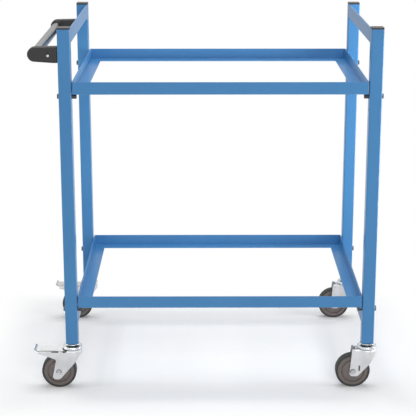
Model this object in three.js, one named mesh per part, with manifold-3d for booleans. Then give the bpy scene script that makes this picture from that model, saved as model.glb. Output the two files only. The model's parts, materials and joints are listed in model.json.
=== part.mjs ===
// Order picking trolley for standard boxes: two end frames of square tube, two open tray
// frames of angle section, a push handle and four swivel casters, two of them braked.
// Millimetres, +Z up, the handle towards -X and the front towards -Y. The origin lies on the
// floor, in the middle of the space that the whole trolley takes up.
import * as THREE from "three";
import { mergeVertices } from "three/addons/utils/BufferGeometryUtils.js";
import Module from "manifold-3d";

const wasm = await Module();
wasm.setup();

// Fits: the clearance left where two pieces meet, and how far a cutter runs past its work.
const fit = 0.3;
const overrun = 2;

// Posts of square tube, and where they stand.
const widthOverPosts = 890;
const depthOverPosts = 620;
const postSize = 35;
const postWall = 2;
const postCornerRadius = 3;
const postLength = 909;
const capRimHeight = 5;
const capEdgeRadius = 1;
const capPlugDepth = 18;

// Flat cross rails, one at the top and one low down in each end frame.
const railHeight = 40;
const railThickness = 4;
const lowerRailRise = 57;

// Tray frames of angle section. A rise is measured from the posts' lower ends and a drop
// from their tops.
const angleLeg = 35;
const angleThickness = 2.5;
const angleHeelRadius = 3.5;
const angleRootRadius = 1.5;
const trayEndPlay = 2;
const lowerTrayRise = 110;
const upperTrayDrop = 179;

// Bolts and nuts that carry the tray frames, and the spare holes for other tray heights.
const trayBoltDiameter = 8;
const trayBoltHeadHeight = 5;
const hexAcrossFlats = 13;
const trayNutLength = 13;
const spareHoleDiameter = 7;
const lowerSpareHoleRise = 391;
const upperSpareHoleRise = 684;

// Push handle: two arms on the posts of the left end, and a tube between them.
const armThickness = 28;
const armTopDrop = 47.4;
const armHeightAtPost = 47;
const armHeelLength = 14;
const armEndRadius = 19.8;
const armEdgeRadius = 2.5;
const gripDiameter = 28;
const gripWall = 1.5;
const gripReach = 63.2;
const gripDrop = 68.6;
const gripSocketDepth = 14;
const collarDiameter = 36;
const collarHeight = 5;

// Caster wheels.
const wheelDiameter = 100;
const wheelWidth = 28;
const tyreDepth = 7.5;
const tyreShoulderRadius = 5;
const wheelFaceRecess = 1.5;
const hubDiameter = 26;
const hubOverhang = 1.5;
const faceGrooveDiameter = 62;
const faceGrooveWidth = 2.4;
const faceGrooveDepth = 1.2;
const sleeveDiameter = 12;
const axleDiameter = 8;
const axleHeadDiameter = 13;
const axleHeadHeight = 3;

// Caster forks, pressed from sheet, wide at the crown and drawn in at the axle.
const casterTrail = 40;
const forkSheet = 2.6;
const crownWidth = 52;
const crownGap = 10.6;
const crownBendRadius = 6;
const crownNoseReach = 24.5;
const skirtHeight = 28;
const waistAboveAxle = 14;
const plainHeelReach = 38.4;
const plainLegBack = 6.7;
const plainLegDrop = 15.2;
const plainToeAhead = 15.7;
const plainSlotAhead = 21.4;
const plainSlotHeight = 9;
const plainSlotWidth = 2.2;
const plainNoseShares = [[0.63, 0.467], [0.85, 0.657], [0.96, 0.85]];

// Braked forks have cheeks drawn out into wings, with the pedal between them.
const brakedLegBack = 19;
const brakedLegDrop = 21.5;
const brakedToeAhead = 4;
const brakedHeelRiseShare = 0.7;
const brakedFootBackShare = 0.2;
const brakedNoseShares = [[0.334, 0.27], [0.674, 0.554], [0.831, 0.767], [0.941, 0.919]];
const wingReach = 98;
const wingRise = 4.3;
const wingEndHeight = 7;
const wingRootReach = 46.4;
const wingRootDrop = 28.3;
const wingRingGap = 1;
const crownHeelReach = 27;

// Swivel heads: stem, collar, neck and bearing ring in one, over the fork's crown.
const ringDiameter = 57;
const ringHeight = 12.4;
const ringShoulderRadius = 4;
const ringFootChamfer = 1;
const neckDiameter = 28;
const neckHeight = 7;
const flangeDiameter = 40;
const flangeThickness = 2.8;
const stemDiameter = 12;
const stemLength = 52;
const stemChamfer = 1;
const kingpinDiameter = 12;
const rivetDiameter = 20;
const rivetHeight = 3;
const plugLength = 45;

// Brake pedals.
const pedalSheet = 2.5;
const pedalSideGap = 0.7;
const pedalRecess = 0.5;
const pedalRingGap = 1.2;
const pedalEndGap = 0.5;
const pedalTipLength = 9;
const pedalTipRise = 5;
const pedalTipInset = 1.2;
const pedalEarGap = 0.5;
const pedalPivotDrop = 6;
const pedalPinDiameter = 5.6;
const pedalEarLength = 13;
const pedalEarDrop = 4.7;
const shoeWidth = 20;
const shoeFrontReach = 46;
const shoeLength = 16;
const pedalTravel = THREE.MathUtils.degToRad(12);

// How finely round shapes are cut.
const wheelSides = 28;
const turnedSides = 20;
const boreSides = 12;
const hexSides = 6;
const cornerSteps = 2;
const arcSteps = 1;
const armArcSteps = 6;

// How far along X a circle about the swivel's axis reaches, at a distance from the middle.
function chordReach(radius, distance) {
  return Math.sqrt(Math.max(radius * radius - distance * distance, 0));
}

// Heights that follow from the sizes above.
const axleHeight = wheelDiameter / 2;
const crownUnderside = wheelDiameter + crownGap;
const crownTop = crownUnderside + forkSheet;
const ringBottom = crownTop + fit;
const ringTop = ringBottom + ringHeight;
const neckTop = ringTop + neckHeight;
const flangeTop = neckTop + flangeThickness;
const postBottom = flangeTop + fit;
const postTop = postBottom + postLength;

// Places that follow from the sizes above.
const postX = (widthOverPosts - postSize) / 2;
const postY = (depthOverPosts - postSize) / 2;
const postBore = postSize - 2 * postWall;
const postBoreRadius = Math.max(postCornerRadius - postWall, fit);
const innerFaceX = postX - postSize / 2;
const outerFaceX = postX + postSize / 2;
const hubLength = wheelWidth + 2 * hubOverhang;
const legInner = hubLength / 2 + fit;
const legOuter = legInner + forkSheet;
const cheekInner = crownWidth / 2 - forkSheet;
const cheekOuter = crownWidth / 2;
const wingTop = crownTop + wingRise;
const wingFrontReach = chordReach(ringDiameter / 2 + wingRingGap, cheekInner);
const pedalTipReach = wingReach - pedalEndGap + pedalTipLength;
const pedalPivotReach = crownHeelReach + pedalEarGap + pedalEarLength / 2;
const upperTrayRise = postLength - upperTrayDrop;

const leftReach = Math.max(postX + pedalTipReach, outerFaceX + gripReach + armEndRadius);
const rightReach = Math.max(postX + ringDiameter / 2, outerFaceX + trayBoltHeadHeight + fit);
const originShift = (leftReach - rightReach) / 2;

// Finishes.
const bluePaint = new THREE.MeshStandardMaterial({ color: 0x4a80b8, roughness: 0.45, metalness: 0 });
const blackPlastic = new THREE.MeshStandardMaterial({ color: 0x3a3a3a, roughness: 0.6, metalness: 0 });
const satinAluminium = new THREE.MeshStandardMaterial({ color: 0xc4c5c8, roughness: 0.35, metalness: 1 });
const zincSteel = new THREE.MeshStandardMaterial({ color: 0xd4d8dc, roughness: 0.3, metalness: 1 });
const greyNylon = new THREE.MeshStandardMaterial({ color: 0xb9b7b2, roughness: 0.6, metalness: 0 });
const wheelPlastic = new THREE.MeshStandardMaterial({ color: 0x6c6461, roughness: 0.6, metalness: 0 });
const greyRubber = new THREE.MeshStandardMaterial({ color: 0x4b4b4b, roughness: 0.8, metalness: 0 });

// A shape drawn flat is extruded along one axis of the trolley, from one place to another.
function extruded(shape, length, bevel = 0) {
  const geometry = new THREE.ExtrudeGeometry(shape, {
    depth: length - 2 * bevel,
    curveSegments: arcSteps,
    bevelEnabled: bevel > 0,
    bevelThickness: bevel,
    bevelSize: bevel,
    bevelOffset: -bevel,
    bevelSegments: 1,
  });
  return geometry.translate(0, 0, bevel);
}

const xAxis = new THREE.Vector3(1, 0, 0);
const yAxis = new THREE.Vector3(0, 1, 0);
const zAxis = new THREE.Vector3(0, 0, 1);

// The shape's own x and y become Y and Z.
function alongX(shape, from, to) {
  const turn = new THREE.Matrix4().makeBasis(yAxis, zAxis, xAxis);
  return extruded(shape, to - from).applyMatrix4(turn).translate(from, 0, 0);
}

// The shape's own x and y become X and Z.
function alongY(shape, from, to, bevel = 0) {
  const turn = new THREE.Matrix4().makeBasis(xAxis, zAxis, yAxis.clone().negate());
  return extruded(shape, to - from, bevel).applyMatrix4(turn).translate(0, to, 0);
}

function alongZ(shape, from, to, bevel = 0) {
  return extruded(shape, to - from, bevel).translate(0, 0, from);
}

function block(x0, x1, y0, y1, z0, z1) {
  const box = new THREE.BoxGeometry(x1 - x0, y1 - y0, z1 - z0);
  return box.translate((x0 + x1) / 2, (y0 + y1) / 2, (z0 + z1) / 2);
}

// A round bar along Y at a place in X and Z, with its flats outside the true circle.
function barAlongY(radius, from, to, x, z, sides = boreSides) {
  const bar = new THREE.CylinderGeometry(radius, radius, to - from, sides);
  return bar.translate(x, (from + to) / 2, z);
}

function barAlongX(radius, from, to, sides = boreSides) {
  const bar = new THREE.CylinderGeometry(radius, radius, to - from, sides);
  return bar.rotateZ(Math.PI / 2).translate((from + to) / 2, 0, 0);
}

function barAlongZ(radius, from, to, sides = boreSides) {
  const bar = new THREE.CylinderGeometry(radius, radius, to - from, sides);
  return bar.rotateX(Math.PI / 2).translate(0, 0, (from + to) / 2);
}

// A closed mesh made into a solid that can be joined and cut, and back again.
function solid(geometry) {
  const bare = geometry.clone();
  bare.deleteAttribute("normal");
  bare.deleteAttribute("uv");
  const merged = mergeVertices(bare);
  return new wasm.Manifold(new wasm.Mesh({
    numProp: 3,
    vertProperties: new Float32Array(merged.attributes.position.array),
    triVerts: new Uint32Array(merged.index.array),
  }));
}

function geometryOf(shape) {
  const mesh = shape.getMesh();
  const geometry = new THREE.BufferGeometry();
  geometry.setAttribute("position", new THREE.BufferAttribute(mesh.vertProperties, 3));
  geometry.setIndex(new THREE.BufferAttribute(mesh.triVerts, 1));
  geometry.computeVertexNormals();
  return geometry;
}

function roundedSquare(size, radius) {
  const half = size / 2;
  const flat = half - radius;
  const shape = new THREE.Shape();
  shape.moveTo(-flat, -half);
  shape.lineTo(flat, -half);
  shape.absarc(flat, -flat, radius, -Math.PI / 2, 0);
  shape.lineTo(half, flat);
  shape.absarc(flat, flat, radius, 0, Math.PI / 2);
  shape.lineTo(-flat, half);
  shape.absarc(-flat, flat, radius, Math.PI / 2, Math.PI);
  shape.lineTo(-half, -flat);
  shape.absarc(-flat, -flat, radius, Math.PI, 1.5 * Math.PI);
  return shape;
}

// A hexagon with flats above and below.
function hexagon(acrossFlats) {
  const corner = acrossFlats / Math.sqrt(3);
  const points = [];
  for (let i = 0; i < hexSides; i += 1) {
    const angle = (i * 2 * Math.PI) / hexSides;
    points.push(new THREE.Vector2(corner * Math.cos(angle), corner * Math.sin(angle)));
  }
  return new THREE.Shape(points);
}

function polygon(points) {
  return new THREE.Shape(points.map(([a, b]) => new THREE.Vector2(a, b)));
}

function turned(points, sides, start = 0) {
  return new THREE.LatheGeometry(points.map(([r, h]) => new THREE.Vector2(r, h)), sides, start);
}

// A quarter round from one direction to another, as points.
function corner(x, y, radius, fromAngle, toAngle, steps = cornerSteps) {
  const points = [];
  for (let i = 0; i <= steps; i += 1) {
    const angle = fromAngle + ((toAngle - fromAngle) * i) / steps;
    points.push([x + radius * Math.cos(angle), y + radius * Math.sin(angle)]);
  }
  return points;
}

const trolley = new THREE.Group();
trolley.position.x = originShift;

function add(parent, name, geometry, material, x = 0, y = 0, z = 0) {
  const mesh = new THREE.Mesh(geometry, material);
  mesh.name = name;
  mesh.position.set(x, y, z);
  parent.add(mesh);
  return mesh;
}

// Posts

// One post, with its holes facing the trays' side, which is +1 for a post on the left.
function postGeometry(inwardSign) {
  const section = roundedSquare(postSize, postCornerRadius);
  section.holes.push(roundedSquare(postBore, postBoreRadius));
  let tube = solid(alongZ(section, 0, postLength));
  const half = postSize / 2 + overrun;
  for (const rise of [lowerTrayRise, upperTrayRise]) {
    const hole = barAlongX(trayBoltDiameter / 2 + fit, -half, half);
    tube = tube.subtract(solid(hole.translate(0, 0, boltRise(rise))));
  }
  for (const rise of [lowerSpareHoleRise, upperSpareHoleRise]) {
    const hole = barAlongX(spareHoleDiameter / 2, 0, half);
    if (inwardSign < 0) hole.rotateZ(Math.PI);
    tube = tube.subtract(solid(hole.translate(0, 0, rise)));
  }
  return geometryOf(tube);
}

// A tray frame lies on the upper flats of its nuts, so the bolts' height follows from it.
function boltRise(trayRise) {
  return trayRise - fit - hexAcrossFlats / 2;
}

function capGeometry() {
  const rim = alongZ(roundedSquare(postSize, postCornerRadius), fit, capRimHeight, capEdgeRadius);
  const plug = roundedSquare(postBore - 2 * fit, postBoreRadius);
  return geometryOf(solid(rim).add(solid(alongZ(plug, -capPlugDepth, capRimHeight / 2))));
}

function plugGeometry() {
  const body = alongZ(roundedSquare(postBore - 2 * fit, postBoreRadius), 0, plugLength);
  const bore = barAlongZ(stemDiameter / 2 + fit, -overrun, plugLength + overrun);
  return geometryOf(solid(body).subtract(solid(bore)));
}

// Cross rails, between the posts and level with their inner faces

function railGeometry() {
  const length = depthOverPosts - 2 * postSize - 2 * fit;
  return block(-railThickness / 2, railThickness / 2, -length / 2, length / 2, 0, railHeight);
}

// Tray frames

// The angle's section, as inward distance from its outer face and height above its underside.
function angleSection() {
  const heel = angleHeelRadius;
  const root = angleThickness + angleRootRadius;
  return [
    [0, angleLeg],
    ...corner(heel, heel, heel, Math.PI, 1.5 * Math.PI),
    [angleLeg, 0],
    [angleLeg, angleThickness],
    ...corner(root, root, angleRootRadius, 1.5 * Math.PI, Math.PI),
    [angleThickness, angleLeg],
  ];
}

// The section runs round a rectangle, mitred at its four corners.
function trayGeometry() {
  const halfX = innerFaceX - trayEndPlay;
  const halfY = depthOverPosts / 2;
  const section = angleSection();
  const positions = [];
  const index = [];
  for (const [signX, signY] of [[-1, -1], [1, -1], [1, 1], [-1, 1]]) {
    for (const [inward, height] of section) {
      positions.push(signX * (halfX - inward), signY * (halfY - inward), height);
    }
  }
  const count = section.length;
  const sides = 4;
  for (let side = 0; side < sides; side += 1) {
    const near = side * count;
    const far = ((side + 1) % sides) * count;
    for (let i = 0; i < count; i += 1) {
      const next = (i + 1) % count;
      index.push(near + i, near + next, far + i);
      index.push(near + next, far + next, far + i);
    }
  }
  const geometry = new THREE.BufferGeometry();
  geometry.setAttribute("position", new THREE.Float32BufferAttribute(positions, 3));
  geometry.setIndex(index);
  return geometry;
}

// Tray bolts and nuts, drawn on the right, with the bolt's head outside at +X

function trayBoltGeometry() {
  const start = postSize / 2 + fit;
  const head = alongX(hexagon(hexAcrossFlats), start, start + trayBoltHeadHeight);
  const shank = barAlongX(trayBoltDiameter / 2, -postSize / 2 - trayNutLength, start + overrun);
  return geometryOf(solid(head).add(solid(shank)));
}

function trayNutGeometry() {
  const end = -postSize / 2 - fit;
  const nut = alongX(hexagon(hexAcrossFlats), end - trayNutLength, end);
  const bore = barAlongX(trayBoltDiameter / 2 + fit, end - trayNutLength - overrun, end + overrun);
  return geometryOf(solid(nut).subtract(solid(bore)));
}

// Push handle

// An arm seen from the front, with X from the post's outer face and Z from the grip's axis.
function armOutline() {
  const top = gripDrop - armTopDrop;
  const shape = new THREE.Shape();
  shape.moveTo(-fit, top);
  shape.lineTo(-gripReach, armEndRadius);
  shape.absarc(-gripReach, 0, armEndRadius, Math.PI / 2, 1.5 * Math.PI);
  shape.lineTo(-armHeelLength, top - armHeightAtPost);
  shape.lineTo(-fit, top - armHeightAtPost);
  return shape;
}

// The inward sign says which way along Y the other arm lies.
function armGeometry(inwardSign) {
  const half = armThickness / 2;
  const outline = armOutline();
  const curve = outline.extractPoints(armArcSteps).shape;
  const body = alongY(new THREE.Shape(curve), -half, half, armEdgeRadius);
  const collar = barAlongY(collarDiameter / 2, 0, half + collarHeight, -gripReach, 0, turnedSides);
  const socketFloor = half + collarHeight - gripSocketDepth;
  const socket = barAlongY(
    gripDiameter / 2 + fit, socketFloor, half + collarHeight + overrun, -gripReach, 0, turnedSides,
  );
  if (inwardSign < 0) {
    collar.scale(1, -1, 1);
    socket.scale(1, -1, 1);
    collar.index.array.reverse();
    socket.index.array.reverse();
  }
  return geometryOf(solid(body).add(solid(collar)).subtract(solid(socket)));
}

function gripGeometry() {
  const outer = gripDiameter / 2;
  const inner = outer - gripWall;
  const half = postY - armThickness / 2 - collarHeight + gripSocketDepth - fit;
  const profile = [[inner, -half], [outer, -half], [outer, half], [inner, half], [inner, -half]];
  return turned(profile, turnedSides);
}

// Casters, drawn with the swivel's axis at X = 0 and the wheel trailing towards -X

function tyreGeometry() {
  const toVertex = 1 / Math.cos(Math.PI / wheelSides);
  const outer = (wheelDiameter / 2) * toVertex;
  const inner = wheelDiameter / 2 - tyreDepth;
  const half = wheelWidth / 2;
  const round = tyreShoulderRadius;
  const profile = [
    [inner, -half],
    ...corner(outer - round, -half + round, round, -Math.PI / 2, 0),
    ...corner(outer - round, half - round, round, 0, Math.PI / 2),
    [inner, half],
    [inner, -half],
  ];
  return turned(profile, wheelSides, Math.PI / wheelSides);
}

function wheelCentreGeometry() {
  const outer = (wheelDiameter / 2 - tyreDepth - fit) * Math.cos(Math.PI / wheelSides);
  const bore = sleeveDiameter / 2 + fit;
  const hub = hubDiameter / 2;
  const face = wheelWidth / 2 - wheelFaceRecess;
  const floor = face - faceGrooveDepth;
  const grooveIn = (faceGrooveDiameter - faceGrooveWidth) / 2;
  const grooveOut = (faceGrooveDiameter + faceGrooveWidth) / 2;
  const oneSide = [
    [bore, hubLength / 2], [hub, hubLength / 2], [hub, face],
    [grooveIn, face], [faceGrooveDiameter / 2, floor], [grooveOut, face], [outer, face],
  ];
  const otherSide = oneSide.map(([radius, height]) => [radius, -height]).reverse();
  const profile = [...oneSide, ...otherSide, oneSide[0]].reverse();
  return turned(profile, wheelSides, Math.PI / wheelSides);
}

function axleGeometry() {
  const outside = legOuter + fit;
  const sleeve = legInner - fit;
  const shank = barAlongY(axleDiameter / 2, -outside - overrun, outside + overrun, 0, 0);
  const spacer = barAlongY(sleeveDiameter / 2, -sleeve, sleeve, 0, 0, turnedSides);
  const head = barAlongY(axleHeadDiameter / 2, -outside - axleHeadHeight, -outside, 0, 0, turnedSides);
  const nut = alongY(hexagon(hexAcrossFlats), outside, outside + axleHeadHeight);
  return geometryOf(solid(shank).add(solid(spacer)).add(solid(head)).add(solid(nut)));
}

// The fork's section across the trolley: a crown, upright skirts, and legs drawn in below.
function forkSection() {
  const bend = crownBendRadius;
  const innerBend = bend - forkSheet;
  const skirtBottom = crownTop - skirtHeight;
  const waist = axleHeight + waistAboveAxle;
  const foot = -overrun;
  const right = [
    ...corner(cheekOuter - bend, crownTop - bend, bend, Math.PI / 2, 0),
    [cheekOuter, skirtBottom],
    [legOuter, waist],
    [legOuter, foot],
    [legInner, foot],
    [legInner, waist],
    [cheekInner, skirtBottom],
    ...corner(cheekInner - innerBend, crownUnderside - innerBend, innerBend, 0, Math.PI / 2),
  ];
  const left = right.map(([y, z]) => [-y, z]).reverse();
  return polygon([...right, ...left].reverse());
}

// The edge from the toe up to the crown's nose, as shares of the way across and up.
function noseEdge(toeX, toeZ, shares) {
  const across = crownNoseReach - toeX;
  const up = crownTop - toeZ;
  return shares.map(([a, b]) => [toeX + a * across, toeZ + b * up]);
}

function plainCheek() {
  const footZ = axleHeight - plainLegDrop;
  const backX = -casterTrail - plainLegBack;
  const toeX = -casterTrail + plainToeAhead;
  return polygon([
    [-plainHeelReach, crownTop],
    [backX, axleHeight - plainLegDrop / 2],
    [-casterTrail - plainLegBack / 2, footZ],
    [toeX, footZ],
    ...noseEdge(toeX, footZ, plainNoseShares),
    [crownNoseReach, crownTop],
  ]);
}

function brakedCheek() {
  const footZ = axleHeight - brakedLegDrop;
  const backX = -casterTrail - brakedLegBack;
  const toeX = -casterTrail + brakedToeAhead;
  return polygon([
    [-wingReach, crownTop],
    [-wingReach, wingTop - wingEndHeight],
    [-wingRootReach, crownTop - wingRootDrop],
    [backX, axleHeight - brakedLegDrop * brakedHeelRiseShare],
    [backX + brakedLegBack * brakedFootBackShare, footZ],
    [toeX, footZ],
    ...noseEdge(toeX, footZ, brakedNoseShares),
    [crownNoseReach, crownTop],
  ]);
}

function pierced(fork) {
  const kingpin = barAlongZ(kingpinDiameter / 2 + fit, crownUnderside - overrun, crownTop + overrun);
  const axle = barAlongY(
    axleDiameter / 2 + fit, -cheekOuter, cheekOuter, -casterTrail, axleHeight,
  );
  return fork.subtract(solid(kingpin)).subtract(solid(axle));
}

function pressing(cheek) {
  const channel = alongX(forkSection(), -wingReach - overrun, crownNoseReach + overrun);
  const outline = alongY(cheek, -cheekOuter - overrun, cheekOuter + overrun);
  return solid(channel).intersect(solid(outline));
}

function plainForkGeometry() {
  const slotX = -casterTrail + plainSlotAhead;
  const slotZ = axleHeight;
  const slot = block(
    slotX - plainSlotWidth / 2, slotX + plainSlotWidth / 2, -cheekOuter, 0,
    slotZ, slotZ + plainSlotHeight,
  );
  return geometryOf(pierced(pressing(plainCheek())).subtract(solid(slot)));
}

function brakedForkGeometry() {
  const wing = polygon([
    [-wingReach, wingTop],
    [-wingReach, wingTop - wingEndHeight],
    [-wingRootReach, crownTop - wingRootDrop],
    [-wingFrontReach, crownTop - wingRootDrop],
    [-wingFrontReach, wingTop],
  ]);
  const bay = block(
    -wingReach - overrun, -crownHeelReach, -cheekInner, cheekInner,
    crownTop - wingRootDrop, wingTop + overrun,
  );
  const pinHole = barAlongY(
    pedalPinDiameter / 2 + fit, -cheekOuter - overrun, cheekOuter + overrun,
    -pedalPivotReach, crownTop - pedalPivotDrop,
  );
  const fork = pressing(brakedCheek())
    .add(solid(alongY(wing, -cheekOuter, -cheekInner)))
    .add(solid(alongY(wing, cheekInner, cheekOuter)))
    .subtract(solid(bay));
  return geometryOf(pierced(fork).subtract(solid(pinHole)));
}

function headGeometry() {
  const ring = ringDiameter / 2;
  const stem = stemDiameter / 2;
  const stemTop = flangeTop + stemLength;
  const rivetTop = crownUnderside - fit;
  const profile = [
    [0, rivetTop - rivetHeight],
    [rivetDiameter / 2, rivetTop - rivetHeight],
    [rivetDiameter / 2, rivetTop],
    [kingpinDiameter / 2, rivetTop],
    [kingpinDiameter / 2, ringBottom],
    [ring - ringFootChamfer, ringBottom],
    [ring, ringBottom + ringFootChamfer],
    ...corner(ring - ringShoulderRadius, ringTop - ringShoulderRadius, ringShoulderRadius, 0, Math.PI / 2),
    [neckDiameter / 2, ringTop],
    [neckDiameter / 2, neckTop],
    [flangeDiameter / 2, neckTop],
    [flangeDiameter / 2, flangeTop],
    [stem, flangeTop],
    [stem, stemTop - stemChamfer],
    [stem - stemChamfer, stemTop],
    [0, stemTop],
  ];
  return turned(profile, turnedSides).rotateX(Math.PI / 2);
}

// Brake pedals

const pedalTop = wingTop - pedalRecess;
const pedalUnderside = pedalTop - pedalSheet;
const pedalHalfWidth = cheekInner - pedalSideGap;
const pivotX = -pedalPivotReach;
const pivotZ = crownTop - pedalPivotDrop;

// The plate seen from above, hollowed at its front to clear the bearing ring.
function pedalPlate() {
  const back = -wingReach + pedalEndGap;
  const notch = ringDiameter / 2 + pedalRingGap;
  const reach = Math.atan2(pedalHalfWidth, chordReach(notch, pedalHalfWidth));
  const arc = corner(0, 0, notch, Math.PI - reach, Math.PI + reach, 2 * cornerSteps);
  return alongZ(polygon([
    [back, pedalHalfWidth],
    [back, -pedalHalfWidth],
    ...arc.reverse(),
  ]), pedalUnderside, pedalTop);
}

function pedalTip() {
  const root = -wingReach + pedalEndGap;
  const overlap = pedalSheet;
  const half = pedalHalfWidth - pedalTipInset;
  return alongY(polygon([
    [root + overlap, pedalTop],
    [root, pedalTop],
    [-pedalTipReach, pedalTop + pedalTipRise],
    [-pedalTipReach, pedalTop + pedalTipRise - pedalSheet],
    [root, pedalUnderside],
    [root + overlap, pedalUnderside],
  ]), -half, half);
}

// The brake shoe's lower face follows the tyre where it meets it, with the pedal pressed down.
function pedalShoe() {
  const wheelX = -casterTrail - pivotX;
  const wheelZ = axleHeight - pivotZ;
  const turn = -pedalTravel;
  const x = pivotX + wheelX * Math.cos(turn) - wheelZ * Math.sin(turn);
  const z = pivotZ + wheelX * Math.sin(turn) + wheelZ * Math.cos(turn);
  const tyre = wheelDiameter / 2 / Math.cos(Math.PI / wheelSides) + fit;
  const shoe = block(
    -shoeFrontReach - shoeLength, -shoeFrontReach, -shoeWidth / 2, shoeWidth / 2,
    axleHeight + wheelDiameter / 2 - overrun, pedalTop - pedalSheet / 2,
  );
  return solid(shoe).subtract(solid(barAlongY(tyre, -shoeWidth, shoeWidth, x, z, 2 * wheelSides)));
}

function pedalGeometry() {
  let pedal = solid(pedalPlate()).add(solid(pedalTip())).add(pedalShoe());
  const earInner = pedalHalfWidth - pedalSheet;
  for (const sign of [-1, 1]) {
    const [y0, y1] = [sign * earInner, sign * pedalHalfWidth].sort((a, b) => a - b);
    const ear = block(
      pivotX - pedalEarLength / 2, pivotX + pedalEarLength / 2, y0, y1,
      pivotZ - pedalEarDrop, pedalTop - pedalSheet / 2,
    );
    const [pin0, pin1] = [sign * earInner, sign * (cheekOuter - fit)].sort((a, b) => a - b);
    const pin = barAlongY(pedalPinDiameter / 2, pin0, pin1, pivotX, pivotZ);
    pedal = pedal.add(solid(ear)).add(solid(pin));
  }
  return geometryOf(pedal);
}

// Assembly

const ends = [{ name: "left", sign: -1 }, { name: "right", sign: 1 }];
const sides = [{ name: "front", sign: -1 }, { name: "rear", sign: 1 }];
const trays = [{ name: "lower", rise: lowerTrayRise }, { name: "upper", rise: upperTrayRise }];

for (const end of ends) {
  const railX = end.sign * (innerFaceX + railThickness / 2);
  add(trolley, `cross_rail_top_${end.name}`, railGeometry(), bluePaint, railX, 0, postTop - railHeight);
  add(trolley, `cross_rail_low_${end.name}`, railGeometry(), bluePaint, railX, 0, postBottom + lowerRailRise);
  for (const side of sides) {
    const place = `${side.name}_${end.name}`;
    const x = end.sign * postX;
    const y = side.sign * postY;
    add(trolley, `post_${place}`, postGeometry(-end.sign), bluePaint, x, y, postBottom);
    add(trolley, `post_cap_${place}`, capGeometry(), blackPlastic, x, y, postTop);
    add(trolley, `caster_plug_${place}`, plugGeometry(), greyNylon, x, y, postBottom);
    for (const tray of trays) {
      const z = postBottom + boltRise(tray.rise);
      const bolt = add(
        trolley, `tray_bolt_${tray.name}_${place}`, trayBoltGeometry(), zincSteel, x, y, z,
      );
      const nut = add(trolley, `tray_nut_${tray.name}_${place}`, trayNutGeometry(), zincSteel, x, y, z);
      if (end.sign < 0) {
        bolt.rotation.z = Math.PI;
        nut.rotation.z = Math.PI;
      }
    }
    addCaster(place, x, y, end.sign < 0);
  }
}

for (const tray of trays) {
  add(trolley, `tray_frame_${tray.name}`, trayGeometry(), bluePaint, 0, 0, postBottom + tray.rise);
}

for (const side of sides) {
  add(
    trolley, `handle_arm_${side.name}`, armGeometry(-side.sign), blackPlastic,
    -outerFaceX, side.sign * postY, postTop - gripDrop,
  );
}
add(
  trolley, "handle_grip", gripGeometry(), satinAluminium,
  -outerFaceX - gripReach, 0, postTop - gripDrop,
);

function addCaster(place, x, y, braked) {
  const caster = new THREE.Group();
  caster.position.set(x, y, 0);
  trolley.add(caster);
  add(caster, `caster_head_${place}`, headGeometry(), zincSteel);
  const fork = braked ? brakedForkGeometry() : plainForkGeometry();
  add(caster, `caster_fork_${place}`, fork, zincSteel);
  add(caster, `caster_axle_${place}`, axleGeometry(), zincSteel, -casterTrail, 0, axleHeight);
  add(caster, `wheel_centre_${place}`, wheelCentreGeometry(), wheelPlastic, -casterTrail, 0, axleHeight);
  add(caster, `wheel_tyre_${place}`, tyreGeometry(), greyRubber, -casterTrail, 0, axleHeight);
  if (braked) add(caster, `brake_pedal_${place}`, pedalGeometry(), zincSteel);
}

export default trolley;
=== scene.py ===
# Order picking trolley: the finish of every surface, and the fine form of the pieces that the
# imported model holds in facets. Metres, +Z up, the handle towards -X, the front towards -Y.
import json
import math

import bpy
from mathutils import Matrix, Vector


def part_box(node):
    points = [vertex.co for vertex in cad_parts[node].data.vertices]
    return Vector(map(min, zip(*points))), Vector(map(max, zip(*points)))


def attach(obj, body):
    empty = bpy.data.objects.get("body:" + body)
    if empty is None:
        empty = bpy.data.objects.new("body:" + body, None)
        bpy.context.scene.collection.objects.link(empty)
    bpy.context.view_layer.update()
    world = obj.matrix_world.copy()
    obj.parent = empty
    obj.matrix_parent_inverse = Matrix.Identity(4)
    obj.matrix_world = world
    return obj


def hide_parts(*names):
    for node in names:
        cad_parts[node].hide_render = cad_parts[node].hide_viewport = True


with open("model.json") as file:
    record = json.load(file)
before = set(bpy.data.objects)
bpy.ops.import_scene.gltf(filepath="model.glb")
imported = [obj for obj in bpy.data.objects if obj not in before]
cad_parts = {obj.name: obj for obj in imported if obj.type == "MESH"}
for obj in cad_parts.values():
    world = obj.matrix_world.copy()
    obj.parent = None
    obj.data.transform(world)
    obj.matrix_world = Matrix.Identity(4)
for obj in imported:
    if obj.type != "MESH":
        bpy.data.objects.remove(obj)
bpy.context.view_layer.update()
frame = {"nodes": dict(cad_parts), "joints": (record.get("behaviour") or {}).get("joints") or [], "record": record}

# Units and fits
mm = 0.001
fit = 0.3 * mm
overrun = 2 * mm
hair = 0.001 * mm

# Directions
origin = Vector((0, 0, 0))
upwards = Vector((0, 0, 1))
rearwards = Vector((0, 1, 0))
frontwards = Vector((0, -1, 0))

# Square tube posts and the caps in their open tops
post_size = 35 * mm
post_wall = 2 * mm
post_corner_radius = 3 * mm
tube_end_break = 0.4 * mm
cap_rim_height = 5 * mm
cap_edge_radius = 1.6 * mm
cap_plug_inset = 1.5 * post_wall + fit
cap_rib_inset = post_wall + fit
cap_rib_count = 3
cap_rib_height = 1 * mm
cap_rib_start = 0.6  # of the ribs' pitch
bolt_hole_diameter = 8.6 * mm
spare_hole_diameter = 7 * mm
spare_hole_heights = (527 * mm, 820 * mm)

# Flat bars and angle section
bar_edge_break = 0.6 * mm
angle_leg = 35 * mm
angle_thickness = 2.5 * mm
angle_heel_radius = 3.5 * mm
angle_root_radius = 1.5 * mm
angle_toe_radius = 0.8 * mm
frame_corner_radius = 4 * mm

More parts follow.
